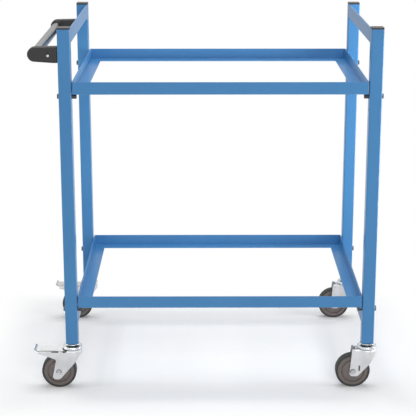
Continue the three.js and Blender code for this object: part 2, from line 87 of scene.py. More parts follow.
# Bolts and nuts
bolt_diameter = 8 * mm
bolt_head_height = 5 * mm
hex_across_flats = 13 * mm
hex_chamfer = 0.9 * mm
hex_sides = 6
bolt_cone_fall = 1.04 * mm
nut_length = 13 * mm
shank_edge_break = 0.5 * mm

# Push handle
arm_thickness = 28 * mm
arm_top_above_grip = 21.2 * mm
arm_height_at_post = 44.5 * mm
arm_heel_length = 14 * mm
arm_end_radius = 19.8 * mm
arm_edge_radius = 2.5 * mm
grip_diameter = 28 * mm
grip_wall = 1.5 * mm
grip_reach = 63.2 * mm
grip_edge_break = 0.3 * mm
grip_socket_depth = 14 * mm
collar_diameter = 36 * mm
collar_height = 5 * mm
collar_edge_radius = 1.5 * mm
arm_screw_from_post = 26.3 * mm
arm_screw_below_grip = 3.3 * mm
arm_screw_diameter = 7.8 * mm
arm_screw_height = 2.2 * mm
arm_socket_radius = 2.2 * mm
arm_socket_floor = 0.4  # of the screw's height
arm_slot_width = 3 * mm
arm_slot_length = 8 * mm
arm_slot_depth = 3.5 * mm

# Caster wheels
wheel_radius = 50 * mm
wheel_width = 28 * mm
tyre_depth = 5.8 * mm
tyre_shoulder_radius = 4 * mm
tyre_lip_radius = 1.2 * mm
wheel_face_recess = 1.5 * mm
hub_radius = 13 * mm
hub_half_length = 15.5 * mm
face_groove_radius = 32.4 * mm
face_groove_width = 4.2 * mm
face_groove_depth = 3.4 * mm
face_edge_radius = 0.7 * mm
hub_root_radius = 1.5 * mm
sleeve_radius = 6 * mm
axle_radius = 4 * mm
axle_head_radius = 6.5 * mm
axle_head_height = 3 * mm
axle_dish_radius = 5.2 * mm
axle_dish_depth = 1.8 * mm
axle_end_past_nut = 1 * mm
# A black ring round the axle's head, put in as painted shade for the dark ring round it
axle_shade_ring_radius = 7.6 * mm
axle_shade_ring_height = 1.6 * mm
axle_shade_ring_edge = 0.5 * mm

# Caster forks, in the caster's own frame with the swivel at X = 0
caster_trail = 40 * mm
wheel_middle = Vector((-caster_trail, 0, wheel_radius))
fork_sheet = 2.6 * mm
fork_half_width = 26 * mm
leg_half_width = 18.4 * mm
crown_top = 118.2 * mm
crown_bend_radius = 6 * mm
crown_nose_reach = 27 * mm
nose_length = math.pi / 4 * (crown_nose_reach + fork_half_width)
nose_bottom = 104 * mm
skirt_bottom = 102 * mm
leg_waist = 50 * mm
press_edge_break = 0.7 * mm
boss_radius = 22 * mm
boss_top = 119.3 * mm
boss_edge_radius = 0.8 * mm
kingpin_hole_radius = 6.3 * mm
wing_top = 112.3 * mm
wing_reach = 98 * mm
wing_front_reach = 18 * mm
wing_blend = 5 * mm
ear_top = 119 * mm
ear_blend = 5 * mm
plain_crown_reach = 34 * mm
narrow_behind = -26 * mm
narrow_blend = 24 * mm
pin_socket_depth = 1.4 * mm
plain_foot = 35 * mm
braked_foot = 26.8 * mm
fork_slot_width = 4.6 * mm
fork_slot_low = 52.3 * mm
fork_slot_high = 68.6 * mm
fork_slot_from_axle = 18.3 * mm

# Swivel heads
ring_radius = 28.5 * mm
ring_bottom = 119.5 * mm
ring_top = 127.2 * mm
ring_shoulder_radius = 4 * mm
ring_foot_radius = 2 * mm
neck_radius = 14 * mm
# A black ring round the neck, put in as painted shade for the dark gap under the collar
shade_ring_radius = 17 * mm
shade_ring_edge_radius = 1 * mm
neck_top = 131.8 * mm
flange_radius = 21 * mm
flange_top = 135.7 * mm
flange_fall = 1.4 * mm
stem_radius = 6 * mm
stem_top = 187.7 * mm
rivet_radius = 10 * mm
rivet_bottom = 112.2 * mm
rivet_top = 115.2 * mm
turned_edge_radius = 0.8 * mm
neck_fillet_radius = 1.5 * mm

# Brake pedals
pedal_sheet = 2.5 * mm
pedal_top = 117 * mm
pedal_half_width = 22.7 * mm
pedal_notch_radius = 29.7 * mm
pedal_end = 100 * mm
pedal_tip_reach = 108.4 * mm
pedal_tip_rise = 6.2 * mm
pedal_tip_inset = 1.2 * mm
pedal_pivot = Vector((-34 * mm, 0, 107.2 * mm))
pedal_pin_radius = 2.8 * mm
pedal_ear_length = 13 * mm
pedal_ear_drop = 4.7 * mm
pedal_panel_height = 0.4 * mm
pedal_panel_from_end = 7 * mm
pedal_panel_from_side = 6 * mm
pedal_panel_inner_end = 44 * mm
pedal_panel_corner = 3 * mm
pedal_edge_break = 0.5 * mm
pedal_panel_break = 0.25 * mm
pedal_ear_break = 0.4 * mm
shoe_half_width = 10 * mm
shoe_front_reach = 46 * mm
shoe_length = 16 * mm
pedal_travel = math.radians(12)
# Upright pedal faces that lean less than this are painted dark grey as shade
edge_shade_lean = math.radians(30)

# How finely round shapes are cut
wheel_steps = 96
turned_steps = 64
hole_steps = 32
arm_end_steps = 24
notch_steps = 12
nose_steps = 10
shoulder_steps = 8
bend_steps = 6
lip_steps = 5
edge_steps = 4
small_steps = 3

trays = ("lower", "upper")


# Selecting and editing


def select_only(piece):
    bpy.ops.object.select_all(action="DESELECT")
    piece.select_set(True)
    bpy.context.view_layer.objects.active = piece


def edit(piece):
    select_only(piece)
    bpy.ops.object.mode_set(mode="EDIT")
    bpy.ops.mesh.select_all(action="SELECT")


def stop_editing():
    bpy.ops.object.mode_set(mode="OBJECT")


def pick(piece, kind, wanted):
    """Selects the faces or edges that a test wants, in edit mode, and nothing else."""
    bpy.ops.mesh.select_mode(type=kind)
    bpy.ops.mesh.select_all(action="DESELECT")
    bpy.ops.object.mode_set(mode="OBJECT")
    mesh = piece.data
    for element in mesh.polygons if kind == "FACE" else mesh.edges:
        places = [mesh.vertices[v].co for v in element.vertices]
        element.select = wanted(places)
    bpy.ops.object.mode_set(mode="EDIT")


def upright(ends):
    """Whether an edge runs up rather than level."""
    return abs(ends[0].z - ends[1].z) > hair


def remove(*pieces):
    for piece in pieces:
        bpy.data.objects.remove(piece, do_unlink=True)


def tidy(piece):
    """Merges doubled points and turns every face outwards."""
    edit(piece)
    bpy.ops.mesh.remove_doubles(threshold=hair)
    bpy.ops.mesh.dissolve_degenerate(threshold=hair)
    bpy.ops.mesh.normals_make_consistent(inside=False)
    stop_editing()


def apply_modifier(piece, kind, **settings):
    select_only(piece)
    modifier = piece.modifiers.new(kind.lower(), kind)
    for name, value in settings.items():
        setattr(modifier, name, value)
    bpy.ops.object.modifier_apply(modifier=modifier.name)


def break_edges(piece, width, steps=2, angle=50):
    """Rounds every edge sharper than an angle."""
    apply_modifier(
        piece, "BEVEL", width=width, segments=steps, limit_method="ANGLE",
        angle_limit=math.radians(angle), use_clamp_overlap=True,
    )


def combine(piece, other, operation):
    """Joins another solid to the piece, or cuts it away, and removes the other."""
    apply_modifier(piece, "BOOLEAN", object=other, operation=operation, solver="EXACT")
    remove(other)
    tidy(piece)


def cut(piece, other):
    combine(piece, other, "DIFFERENCE")


def join(piece, other):
    combine(piece, other, "UNION")


def smooth(piece, angle=35):
    """Shades curves smooth and keeps the flats next to them flat."""
    select_only(piece)
    bpy.ops.object.shade_smooth_by_angle(angle=math.radians(angle))
    apply_modifier(piece, "WEIGHTED_NORMAL", weight=100, keep_sharp=True)
    return piece


def keep_place(piece):
    """Puts the piece's place, turn and size into its mesh."""
    select_only(piece)
    bpy.ops.object.transform_apply(location=True, rotation=True, scale=True)
    return piece


# Shapes to start from


def block(low, high):
    low, high = Vector(low), Vector(high)
    bpy.ops.mesh.primitive_cube_add(size=1, location=(low + high) / 2, scale=high - low)
    return keep_place(bpy.context.object)


def rod(radius, start, end, steps=hole_steps):
    start, end = Vector(start), Vector(end)
    along = end - start
    bpy.ops.mesh.primitive_cylinder_add(
        vertices=steps, radius=radius, depth=along.length, location=(start + end) / 2,
        rotation=along.to_track_quat("Z", "Y").to_euler(),
    )
    return keep_place(bpy.context.object)


def ring_of_points(points, filled):
    """A circle whose vertices are moved onto the points, in their order."""
    fill = "NGON" if filled else "NOTHING"
    bpy.ops.mesh.primitive_circle_add(vertices=len(points), fill_type=fill)
    piece = bpy.context.object
    for vertex, point in zip(piece.data.vertices, points):
        vertex.co = point
    return piece


def plate(points, push):
    """A flat outline pushed out into a solid."""
    piece = ring_of_points(points, filled=True)
    edit(piece)
    bpy.ops.mesh.extrude_region_move(TRANSFORM_OT_translate={"value": push})
    stop_editing()
    tidy(piece)
    return piece


def turned(profile, middle=origin, axis=upwards, steps=turned_steps):
    """A profile of radii and heights turned about an axis along Y or Z. It starts and ends on
    the axis, or is a ring that closes on itself."""
    points = [middle + Vector((radius, 0, 0)) + axis * height for radius, height in profile]
    piece = ring_of_points(points, filled=False)
    edit(piece)
    if profile[0][0] == 0:
        pick(piece, "EDGE", lambda ends: all((p - middle).cross(axis).length < hair for p in ends))
        bpy.ops.mesh.delete(type="EDGE_FACE")
        bpy.ops.mesh.select_all(action="SELECT")
    bpy.ops.mesh.spin(steps=steps, angle=math.tau, center=middle, axis=axis, use_auto_merge=True)
    stop_editing()
    tidy(piece)
    return piece


def arc(middle, radius, start, end, steps=bend_steps):
    """Points on an arc between two directions in degrees."""
    angles = [math.radians(start + (end - start) * i / steps) for i in range(steps + 1)]
    return [(middle[0] + radius * math.cos(a), middle[1] + radius * math.sin(a)) for a in angles]


def rounded(corners, steps=bend_steps):
    """An outline with its corners rounded. Each corner is two places and a radius."""
    points = []
    for i, (a, b, radius) in enumerate(corners):
        if not radius:
            points.append((a, b))
            continue
        here = Vector((a, b, 0))
        before = (Vector((*corners[i - 1][:2], 0)) - here).normalized()
        after = (Vector((*corners[(i + 1) % len(corners)][:2], 0)) - here).normalized()
        half = before.angle(after) / 2
        reach = radius / math.tan(half)
        middle = here + (before + after).normalized() * (radius / math.sin(half))
        start = (here + before * reach - middle).normalized()
        end = (here + after * reach - middle).normalized()
        for step in range(steps + 1):
            point = middle + start.slerp(end, step / steps).normalized() * radius
            points.append((point.x, point.y))
    return points


def copy_of(piece, shift, mirror=(1, 1, 1)):
    """A copy with its own mesh, mirrored where a sign is negative, and then moved."""
    twin = piece.copy()
    twin.data = piece.data.copy()
    bpy.context.scene.collection.objects.link(twin)
    if -1 in mirror:
        twin.scale = mirror
        keep_place(twin)
        edit(twin)
        bpy.ops.mesh.normals_make_consistent(inside=False)
        stop_editing()
    twin.location = shift
    return keep_place(twin)


# Finishes

# A Mix node's share, its two colours and the mixed colour, by the numbers of its sockets
mix_share, mix_one, mix_other, mix_result = 0, 6, 7, 2

# Nearly all of a noise lies between these, which are stretched to the ends of a range
noise_low, noise_high = 0.3, 0.7

white = (1, 1, 1, 1)
black = (0, 0, 0, 1)
# The attribute that marks the pedal faces painted dark grey as shade
edge_shade_mark = "painted_edge_shade"


def linear(colour):
    """An sRGB hex value as the linear colour that a shader takes."""
    parts = [((colour >> shift) & 0xFF) / 0xFF for shift in (16, 8, 0)]
    return (*(p / 12.92 if p <= 0.04045 else ((p + 0.055) / 1.055) ** 2.4 for p in parts), 1)


def add_node(owner, kind, inputs, feeds=None, **settings):
    """Adds a node with its settings and links. An input is a value, or the output that feeds
    it. What the node feeds is given as its output's name and the socket that takes it."""
    tree = owner.node_tree
    node = tree.nodes.new(kind)
    for name, value in settings.items():
        setattr(node, name, value)
    for name, value in inputs.items():
        if isinstance(value, bpy.types.NodeSocket):
            tree.links.new(value, node.inputs[name])
        else:
            node.inputs[name].default_value = value
    if feeds:
        output, socket = feeds
        tree.links.new(node.outputs[output], socket)
    return node


def new_material(name, **values):
    """A material with a Principled shader, whose even values sit on its own sockets."""
    material = bpy.data.materials.new(name)
    material.use_nodes = True
    shader = material.node_tree.nodes["Principled BSDF"]
    for socket, value in values.items():
        shader.inputs[socket.replace("_", " ")].default_value = value
    return material, shader


def grain(material, size, detail=2.0, stretch=(1, 1, 1)):
    """Noise whose spots are about a size across, on the piece's own coordinates."""
    place = add_node(material, "ShaderNodeTexCoord", {})
    scaled = add_node(
        material, "ShaderNodeMapping", {"Vector": place.outputs["Object"], "Scale": stretch},
    )
    return add_node(
        material, "ShaderNodeTexNoise",
        {"Vector": scaled.outputs["Vector"], "Scale": 1 / size, "Detail": detail},
    ).outputs["Fac"]


def surface(name, colours, gloss, relief=None, **values):
    """A material whose colour and roughness each drift between two values, over a relief of a
    real height. Each of the three ends with its grain: size, and detail and stretch if given."""
    material, shader = new_material(name, **values)
    one, other, *pattern = colours
    share = add_node(
        material, "ShaderNodeMapRange",
        {"Value": grain(material, *pattern), "From Min": noise_low, "From Max": noise_high},
    )
    add_node(
        material, "ShaderNodeMix",
        {mix_share: share.outputs["Result"], mix_one: linear(one), mix_other: linear(other)},
        (mix_result, shader.inputs["Base Color"]), data_type="RGBA",
    )
    low, high, *pattern = gloss
    add_node(
        material, "ShaderNodeMapRange",
        {
            "Value": grain(material, *pattern), "From Min": noise_low, "From Max": noise_high,
            "To Min": low, "To Max": high,
        },
        ("Result", shader.inputs["Roughness"]),
    )
    if relief:
        height, *pattern = relief
        add_node(
            material, "ShaderNodeBump",
            {"Height": grain(material, *pattern), "Distance": height},
            ("Normal", shader.inputs["Normal"]),
        )
    return material


# Polyester powder, sprayed and baked on steel: an even semi-gloss skin whose film has the faint
# waves of orange peel, so that reflections soften without breaking up. The waves are about 3 mm
# from crest to crest, and under a hundredth of a millimetre high.
powder_coated_steel = surface(
    "powder_coated_steel", colours=(0x4485BC, 0x4789C0, 180 * mm), gloss=(0.28, 0.31, 25 * mm),
    relief=(0.004 * mm, 3 * mm, 1), IOR=1.43,
)

# Black nylon with glass fibre, moulded in a spark-eroded tool: a dry, fine, even grain that
# catches a soft grey light. The grain is about half a millimetre, drawn at 0.8 mm so that it
# shows.
glass_filled_nylon = surface(
    "glass_filled_nylon", colours=(0x131313, 0x171717, 9 * mm), gloss=(0.48, 0.58, 3 * mm),
    relief=(0.03 * mm, 0.8 * mm), IOR=1.53,
)

# Low-density polyethylene, injection moulded in a plain tool: smoother and waxier than the
# handle, nearly black, and pale only where light grazes it
black_polyethylene = surface(
    "black_polyethylene", colours=(0x1E1E1E, 0x232323, 6 * mm), gloss=(0.34, 0.42, 4 * mm),
    relief=(0.004 * mm, 1.5 * mm), IOR=1.51,
)

# Extruded aluminium tube, satin anodised: fine die lines run along it under a milky, even
# oxide. The lines are some tenths of a millimetre apart and as long as the tube. They are drawn
# 0.8 mm apart so that they show.
die_lines = (0.8 * mm, 2, (1, 0.01, 1))
anodised_aluminium = surface(
    "anodised_aluminium", colours=(0x757678, 0x808183, *die_lines),
    gloss=(0.17, 0.24, *die_lines), relief=(0.005 * mm, *die_lines), Metallic=1,
)

# Turned and rolled steel, zinc plated bright and clear passivated: nearly a mirror, with a
# faint cool cast
bright_zinc_plate = surface(
    "bright_zinc_plate", colours=(0xD3D7DA, 0xDCDFE0, 7 * mm), gloss=(0.1, 0.18, 5 * mm),
    relief=(0.008 * mm, 3 * mm), Metallic=1,
)

# Deep-drawn steel sheet, zinc plated over a rolled surface: pale and satiny, with the sheet's
# slight cloudiness
zinc_plated_pressing = surface(
    "zinc_plated_pressing", colours=(0xCECFD1, 0xD6D7D9, 14 * mm, 4),
    gloss=(0.44, 0.54, 14 * mm, 4), relief=(0.012 * mm, 1.2 * mm), Metallic=1,
)

# Pressed steel, rumbled smooth before it was zinc plated: whiter and glossier than the forks,
# and clouded where the sheet was drawn. Its upright edge faces are painted dark grey as shade,
# for the shadow line along the pedal's edges
rumbled_zinc_plate = surface(
    "rumbled_zinc_plate", colours=(0xE6E7E8, 0xEEEFEF, 16 * mm, 3),
    gloss=(0.11, 0.18, 16 * mm, 3), relief=(0.006 * mm, 2 * mm), Metallic=1,
)
# Painted shade: the marked edge faces of the pedal take a dark grey instead of the plating's colour
plated_colour = rumbled_zinc_plate.node_tree.nodes["Principled BSDF"].inputs["Base Color"]
painted_edge_shade = add_node(rumbled_zinc_plate, "ShaderNodeAttribute", {}, attribute_name=edge_shade_mark)
add_node(
    rumbled_zinc_plate, "ShaderNodeMix",
    {
        mix_share: painted_edge_shade.outputs["Fac"], mix_one: plated_colour.links[0].from_socket,
        mix_other: linear(0x6E7072),
    },
    (mix_result, plated_colour), data_type="RGBA",
)

# Cold-headed steel bolts and nuts, barrel plated in zinc: duller and greyer than the swivel
# heads, with small scuffs from the barrel
zinc_plated_fastener = surface(
    "zinc_plated_fastener", colours=(0xBBBDBF, 0xC6C8CA, 6 * mm), gloss=(0.28, 0.34, 4 * mm),
    relief=(0.004 * mm, 1 * mm), Metallic=1,
)

# Steel bolts and nuts, zinc plated and painted a dull dark grey as shade, for the darkness under the
# tray frames and on their upper faces: a satin shine, lighter in patches
zinc_painted_dark_as_shade = surface(
    "zinc_painted_dark_as_shade", colours=(0x4E4F52, 0x5E5F62, 3 * mm), gloss=(0.28, 0.38, 3 * mm),
    relief=(0.004 * mm, 1 * mm), Metallic=1,
)

# Unfilled grey nylon, moulded: slightly translucent and waxy
natural_nylon = surface(
    "natural_nylon", colours=(0xB4B2AD, 0xBDBBB6, 5 * mm), gloss=(0.45, 0.55, 3 * mm), IOR=1.53,
)

# Grey polypropylene, injection moulded: a dull, warm grey with faint flow marks round the hub
wheel_polypropylene = surface(
    "wheel_polypropylene", colours=(0x6C6360, 0x766D6A, 12 * mm), gloss=(0.42, 0.52, 4 * mm),
    relief=(0.015 * mm, 1 * mm), IOR=1.49,
)

# Grey thermoplastic rubber, moulded on the wheel: matt and dusty, with no clear reflection
solid_rubber = surface(
    "solid_rubber", colours=(0x363736, 0x404140, 10 * mm), gloss=(0.62, 0.78, 3 * mm),
    relief=(0.03 * mm, 0.7 * mm), IOR=1.5,
)

finishes = {
    "blue_powder_coat": powder_coated_steel,
    "black_plastic": glass_filled_nylon,
    "satin_aluminium": anodised_aluminium,
    "zinc_fasteners": zinc_plated_fastener,
    "bright_zinc": bright_zinc_plate,
    "fork_zinc": zinc_plated_pressing,
    "grey_nylon": natural_nylon,
    "wheel_plastic": wheel_polypropylene,
    "tyre_rubber": solid_rubber,
}

body_of_node = {
    node: body for body, nodes in frame["record"]["behaviour"]["bodies"].items() for node in nodes
}
slot_of_node = {part["node"]: part["material_slot"] for part in frame["record"]["subparts"]}


def dress(piece, name, node, finish=None):
    """Names a finished piece, which stands for a node, moves with it and takes its finish."""
    piece.name = name
    slot = slot_of_node[node]
    piece.data.materials.clear()
    piece.data.materials.append(finish or finishes[slot])
    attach(piece, body_of_node[node])
    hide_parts(node)


def dress_extra(piece, name, body, finish):
    """Names a finished piece that stands for no node, and lets it move with a body."""
    piece.name = name
    piece.data.materials.append(finish)
    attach(piece, body)


for node, piece in frame["nodes"].items():
    piece.data.materials.clear()
    piece.data.materials.append(finishes[slot_of_node[node]])


# Camera, at the photograph's place and angle

camera_place = (-0.0098, -3.8815, 1.5265)
camera_pitch = math.radians(15.384)
camera_turn = math.radians(-0.234)
camera_lens = 114.06


def set_up_camera():
    bpy.ops.object.camera_add(
        location=camera_place, rotation=(math.pi / 2 - camera_pitch, 0, camera_turn),
    )
    camera = bpy.context.object
    camera.data.lens = camera_lens
    bpy.context.scene.camera = camera


# Posts and their caps


def round_upright_edges(piece):
    pick(piece, "EDGE", upright)
    bpy.ops.mesh.bevel(offset=post_corner_radius, segments=bend_steps, affect="EDGES")


def post_tube(node, inward):
    """Welded square tube, open at both ends, with bolt holes right through and spare holes in
    the wall that faces the trays."""
    low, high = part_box(node)
    middle = (low + high) / 2
    post = block(low, high)
    edit(post)
    pick(post, "FACE", lambda corners: max(c.z for c in corners) - min(c.z for c in corners) < hair)
    bpy.ops.mesh.delete(type="ONLY_FACE")
    round_upright_edges(post)
    bpy.ops.mesh.select_all(action="SELECT")
    bpy.ops.mesh.normals_make_consistent(inside=False)
    stop_editing()
    apply_modifier(post, "SOLIDIFY", thickness=post_wall, offset=-1, use_even_offset=True)
    break_edges(post, tube_end_break)
    across = Vector((post_size / 2 + overrun, 0, 0))
    for tray in trays:
        bolt_low, bolt_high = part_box(node.replace("post", f"tray_bolt_{tray}"))
        place = Vector((middle.x, middle.y, (bolt_low.z + bolt_high.z) / 2))
        cut(post, rod(bolt_hole_diameter / 2, place - across, place + across))
    for height in spare_hole_heights:
        place = Vector((middle.x, middle.y, height))
        cut(post, rod(spare_hole_diameter / 2, place, place + inward * across))
    return smooth(post)


def post_cap(node):
    """A ribbed tube insert: a slightly domed lid over a plug that grips the tube's inside."""
    low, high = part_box(node)
    lid_bottom = high.z - cap_rim_height + fit
    lid = block((low.x, low.y, lid_bottom), high)
    edit(lid)
    round_upright_edges(lid)
    pick(lid, "EDGE", lambda ends: all(abs(p.z - high.z) < hair for p in ends))
    bpy.ops.mesh.bevel(offset=cap_edge_radius, segments=edge_steps, affect="EDGES")
    stop_editing()
    pitch = (lid_bottom - low.z) / (cap_rib_count + 1)
    layers = [(cap_plug_inset, low.z, lid_bottom + overrun)]
    for i in range(cap_rib_count):
        rib_bottom = low.z + pitch * (i + cap_rib_start)
        layers.append((cap_rib_inset, rib_bottom, rib_bottom + cap_rib_height))
    for inset, bottom, top in layers:
        join(lid, block(
            (low.x + inset, low.y + inset, bottom), (high.x - inset, high.y - inset, top),
        ))
    return smooth(lid)


def flat_bar(node):
    low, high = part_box(node)
    bar = block(low, high)
    break_edges(bar, bar_edge_break)
    return smooth(bar)


# Tray frames


def angle_outline():
    """The angle's section: inward distance from its outer face, and height above its foot."""
    heel = angle_heel_radius
    toe = angle_toe_radius
    root = angle_thickness + angle_root_radius
    return [
        *arc((angle_thickness - toe, angle_leg - toe), toe, 0, 90, small_steps),
        (0, angle_leg),
        *arc((heel, heel), heel, 180, 270, shoulder_steps),
        (angle_leg, 0),
        *arc((angle_leg - toe, angle_thickness - toe), toe, 0, 90, small_steps),
        *arc((root, root), angle_root_radius, 270, 180, lip_steps),
    ]


def ground_corner(inward, lean):
    """How far in a line of the section lies at a ground corner, along X or Y."""
    bend = max(frame_corner_radius - inward, 0)
    return max(frame_corner_radius, inward) - bend * lean


def tray_frame(node):
    """Angle section run round a rectangle, its corners mitred, welded and ground to a radius."""
    low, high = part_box(node)
    section = angle_outline()
    corners = (
        (low.x, low.y, 1, 1), (high.x, low.y, -1, 1), (high.x, high.y, -1, -1), (low.x, high.y, 1, -1),
    )
    rings = []
    for i, (x, y, inward_x, inward_y) in enumerate(corners):
        for step in range(bend_steps + 1):
            angle = math.radians(90 * step / bend_steps)
            leans = (math.cos(angle), math.sin(angle))
            lean_x, lean_y = leans if i % 2 == 0 else reversed(leans)
            rings.append([
                Vector((
                    x + inward_x * ground_corner(inward, lean_x),
                    y + inward_y * ground_corner(inward, lean_y),
                    low.z + height,
                ))
                for inward, height in section
            ])
    tray = ring_of_points(rings[0], filled=False)
    edit(tray)
    for ring in [*rings[1:], rings[0]]:
        bpy.ops.mesh.extrude_edges_move()
        stop_editing()
        for vertex, point in zip(list(tray.data.vertices)[-len(section):], ring):
            vertex.co = point
        bpy.ops.object.mode_set(mode="EDIT")
    stop_editing()
    tidy(tray)
    return smooth(tray, angle=30)


# Bolts and nuts


def hexagonal(start, end):
    """A plain hexagon along X, and the radius of its corners."""
    corner = hex_across_flats / math.sqrt(3)
    bpy.ops.mesh.primitive_cylinder_add(
        vertices=hex_sides, radius=corner, depth=end - start, location=((start + end) / 2, 0, 0),
        rotation=(0, math.pi / 2, 0),
    )
    return keep_place(bpy.context.object), corner


def turned_along_x(profile):
    """A turned piece along X, made along Z and laid over."""
    piece = turned(profile)
    piece.rotation_euler.y = math.pi / 2
    return keep_place(piece)


def tray_bolt():
    """A hexagon bolt drawn on the right, its head outside the post at +X and its corners cut
    back by the cone of their chamfer."""
    start = post_size / 2 + fit
    top = start + bolt_head_height
    head, corner = hexagonal(start, top)
    wide = corner + overrun
    barrel = turned_along_x([
        (0, start - overrun), (wide, start - overrun), (wide, top - bolt_cone_fall),
        (corner - hex_chamfer, top), (0, top),
    ])
    combine(head, barrel, "INTERSECT")
    shank = rod(bolt_diameter / 2, (-post_size / 2 - nut_length, 0, 0), (start + overrun, 0, 0))
    break_edges(shank, shank_edge_break)
    join(head, shank)
    return smooth(head, angle=28)


def tray_nut():
    """A long hexagon nut inside the trolley, on which the tray frame lies."""
    end = -post_size / 2 - fit
    start = end - nut_length
    nut, corner = hexagonal(start, end)
    narrow = corner - hex_chamfer
    wide = corner + hex_chamfer / 2
    barrel = turned_along_x([
        (0, start), (narrow, start), (wide, start + hex_chamfer),
        (wide, end - hex_chamfer), (narrow, end), (0, end),
    ])
    combine(nut, barrel, "INTERSECT")
    cut(nut, rod(bolt_diameter / 2 + fit, (start - overrun, 0, 0), (end + overrun, 0, 0)))
    return smooth(nut, angle=28)


# Push handle


def handle_arm(node):
    """The front arm: a plate with a round end, a collar for the tube, a recess for its screw and
    the moulding's slot above it."""
    low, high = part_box(node)
    face_x = high.x + fit
    grip = Vector((face_x - grip_reach, 0, high.z - arm_top_above_grip))
    outer_y = low.y
    inner_y = outer_y + arm_thickness
    foot = high.z - arm_height_at_post
    outline = [
        (face_x - fit, high.z),
        *arc((grip.x, grip.z), arm_end_radius, 90, 270, arm_end_steps),
        (face_x - arm_heel_length, foot),
        (face_x - fit, foot),
    ]
    arm = plate([Vector((x, outer_y, z)) for x, z in outline], (0, arm_thickness, 0))
    break_edges(arm, arm_edge_radius, steps=edge_steps)
    outer = collar_diameter / 2
    edge = collar_edge_radius
    collar = turned(
        [
            (0, -arm_thickness / 2), (outer, -arm_thickness / 2),
            *arc((outer - edge, collar_height - edge), edge, 0, 90, edge_steps), (0, collar_height),
        ],
        grip + rearwards * inner_y, rearwards,
    )
    join(arm, collar)
    mouth = inner_y + collar_height
    cut(arm, rod(
        grip_diameter / 2 + fit, grip + rearwards * (mouth - grip_socket_depth),
        grip + rearwards * (mouth + overrun), turned_steps,
    ))
    screw = grip + Vector((grip_reach - arm_screw_from_post, outer_y, -arm_screw_below_grip))
    screw_radius = arm_screw_diameter / 2
    recess_floor = screw + rearwards * arm_screw_height
    cut(arm, rod(screw_radius + 2 * fit, screw - rearwards * overrun, recess_floor))
    half_slot = arm_slot_width / 2
    cut(arm, block(
        screw + Vector((-half_slot, -overrun, screw_radius)),
        screw + Vector((half_slot, arm_slot_depth, screw_radius + arm_slot_length)),
    ))
    smooth(arm)
    return arm, screw


def arm_screw(place):
    """A pan head screw with a hexagon socket, sunk into the front arm's recess."""
    radius = arm_screw_diameter / 2
    height = arm_screw_height
    edge = height / 2
    seat = place + rearwards * (height - fit)
    screw = turned([
        (0, 0), (radius, 0),
        *arc((radius - edge, height - edge), edge, 0, 90, lip_steps), (0, height),
    ], seat, frontwards)
    socket_floor = seat + frontwards * height * arm_socket_floor
    cut(screw, rod(arm_socket_radius, socket_floor, seat + frontwards * 2 * height, hex_sides))
    return smooth(screw)


def grip_tube(node):
    low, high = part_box(node)
    outer = grip_diameter / 2
    inner = outer - grip_wall
    half = (high.y - low.y) / 2
    tube = turned(
        [(inner, -half), (outer, -half), (outer, half), (inner, half)], (low + high) / 2, rearwards,
    )
    break_edges(tube, grip_edge_break)
    return smooth(tube)


# Casters, each drawn with its swivel's axis at X = Y = 0


def caster_head():
    """Stem, collar, neck and bearing ring, turned and rolled in one."""
    edge = turned_edge_radius
    foot = ring_foot_radius
    shoulder = ring_shoulder_radius
    fillet = neck_fillet_radius
    flange_edge = flange_radius - edge
    head = turned([
        (0, rivet_bottom), (rivet_radius - edge, rivet_bottom), (rivet_radius, rivet_bottom + edge),
        (rivet_radius, rivet_top), (stem_radius, rivet_top), (stem_radius, ring_bottom),
        *arc((ring_radius - foot, ring_bottom + foot), foot, -90, 0, lip_steps),
        *arc((ring_radius - shoulder, ring_top - shoulder), shoulder, 0, 90, shoulder_steps),
        *arc((neck_radius + fillet, ring_top + fillet), fillet, 270, 180, edge_steps),
        *arc((neck_radius + fillet, neck_top - fillet), fillet, 180, 90, edge_steps),
        *arc((flange_edge, neck_top + edge), edge, -90, 0, small_steps),
        *arc((flange_edge, flange_top - flange_fall - edge), edge, 0, 60, small_steps),
        (post_size / 2 - edge, flange_top), (stem_radius, flange_top),
        (stem_radius, stem_top - edge), (stem_radius - edge, stem_top), (0, stem_top),
    ])
    return smooth(head)


def neck_shade_ring():
    """A black ring round the neck, between the ring and the collar, put in as painted shade for the dark gap under
    the collar.
    """
    edge = shade_ring_edge_radius
    inner = neck_radius + fit
    bottom = ring_top + fit
    top = neck_top - fit
    shade_ring = turned([
        (inner, bottom), (shade_ring_radius, bottom),
        *arc((shade_ring_radius - edge, top - edge), edge, 0, 90, edge_steps), (inner, top),
    ])
    return smooth(shade_ring)


def plain_cheek():
    """The plain fork's half as a flat sheet: places along it and heights, and corner radii."""
    return rounded([
        (-43.5 * mm, ear_top, 4 * mm),
        (-50.3 * mm, plain_foot, 9 * mm),
        (-26 * mm, plain_foot, 9 * mm),
        (6.4 * mm, 71.4 * mm, 30 * mm),
        (28 * mm, 100 * mm, 16 * mm),
        (nose_length, nose_bottom, 0),
        (nose_length, crown_top, 0),
        (-plain_crown_reach, crown_top, 0),
        (-plain_crown_reach - ear_blend / 2, ear_top, 3 * mm),
    ])


def braked_cheek():
    """The braked fork's half as a flat sheet, its wing drawn out to the rear."""
    return rounded([
        (-wing_reach, wing_top, 1.5 * mm),
        (-wing_reach, wing_top - 4.2 * mm, 2 * mm),
        (-71 * mm, 100.2 * mm, 12 * mm),
        (-46.4 * mm, 90 * mm, 6 * mm),
        (-60 * mm, braked_foot, 9 * mm),
        (-37 * mm, braked_foot, 12 * mm),
        (4.8 * mm, 76 * mm, 40 * mm),
        (24 * mm, 102 * mm, 16 * mm),
        (nose_length, nose_bottom, 0),
        (nose_length, crown_top, 0),
        (-wing_front_reach + wing_blend, crown_top, 0),
        (-wing_front_reach, wing_top, 2 * mm),
    ])


def eased(share):
    """A soft step from 0 to 1."""
    kept = min(max(share, 0), 1)
    return kept * kept * (3 - 2 * kept)


